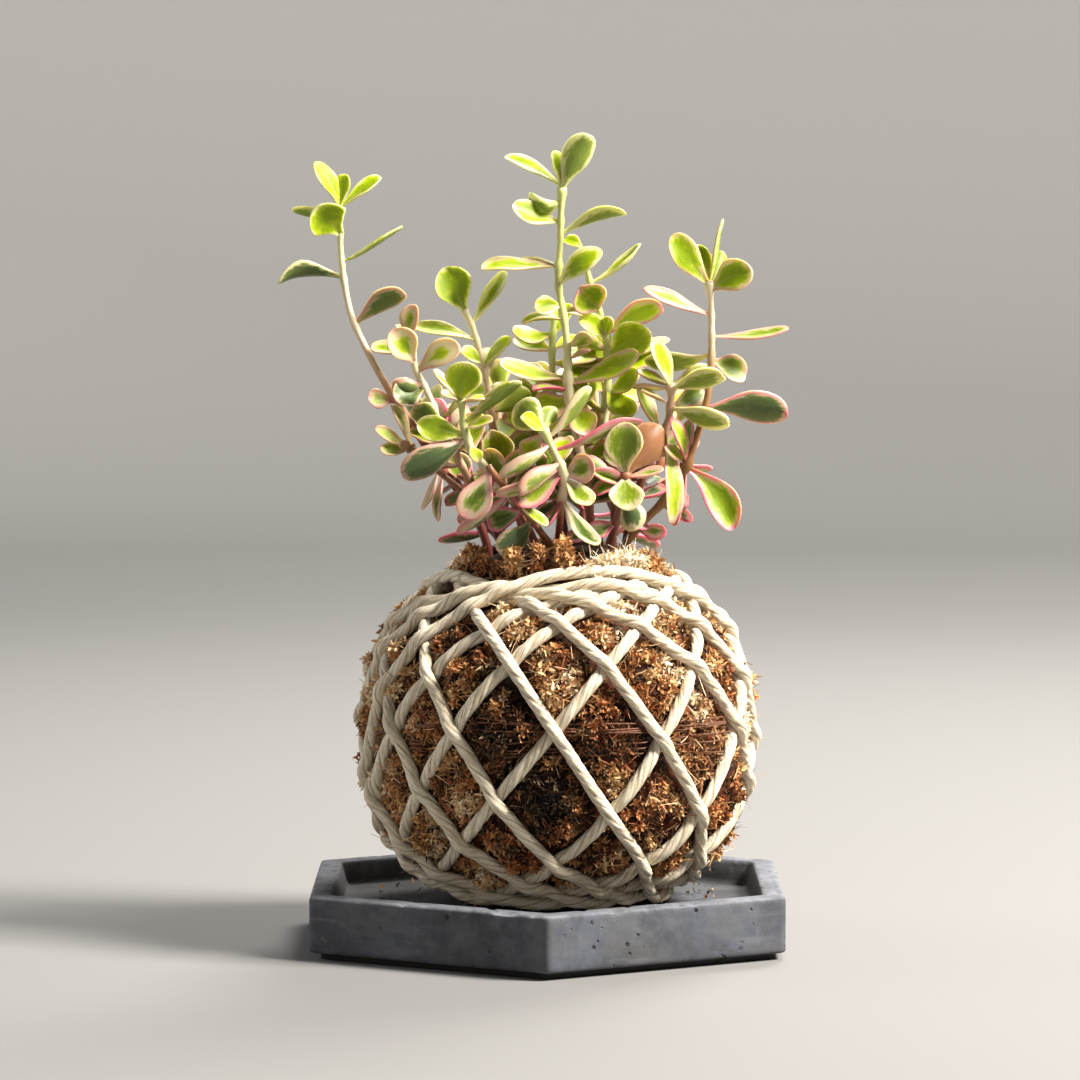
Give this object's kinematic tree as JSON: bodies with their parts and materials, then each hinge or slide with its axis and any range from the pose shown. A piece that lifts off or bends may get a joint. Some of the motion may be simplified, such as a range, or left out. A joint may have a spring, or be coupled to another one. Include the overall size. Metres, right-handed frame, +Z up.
{
  "type": "kokedama moss ball plant",
  "caption": "Leafy variegated succulent growing from a moss-wrapped root ball, wound with twisted cord, resting on a shallow hexagonal concrete tray.",
  "frame": {"origin": "centre of the tray's foot, on the surface that the tray stands on", "axes": "+Z up through the ball and the shoots; -Y to the front, where one corner of the tray points; +X to the right seen from the front"},
  "size_m": [0.1508, 0.159, 0.2399],
  "materials": {
    "tray": "cast concrete, matt, with pinholes",
    "soil": "damp dark potting soil",
    "moss": "dried sphagnum and sheet moss",
    "thread": "thin brown sewing thread",
    "cord": "twisted paper cord, matt",
    "leaf": "fleshy leaf, satin, green with cream margins and pink edges",
    "stem": "fleshy stem, satin, red-brown at the soil and yellow-green at the top"
  },
  "bodies": {
    "root": {"tray": "tray", "soil_ball": "soil", "moss_wrap": "moss", "binding_thread": "thread", "cord_net": "cord", "shoot_left_tall": "leaf", "shoot_left_middle": "leaf", "shoot_left_cluster": "leaf", "shoot_left_low": "leaf", "shoot_front_left": "leaf", "shoot_front_low": "leaf", "shoot_front_centre": "leaf", "shoot_front_right": "leaf", "shoot_centre_tall": "leaf", "shoot_centre_behind": "leaf", "shoot_right_of_centre": "leaf", "shoot_right_rosette": "leaf", "shoot_right_tall": "leaf", "shoot_back_left": "leaf", "shoot_back_left_inner": "leaf", "shoot_back_centre": "leaf", "shoot_back_right": "leaf"}
  },
  "joints": []
}
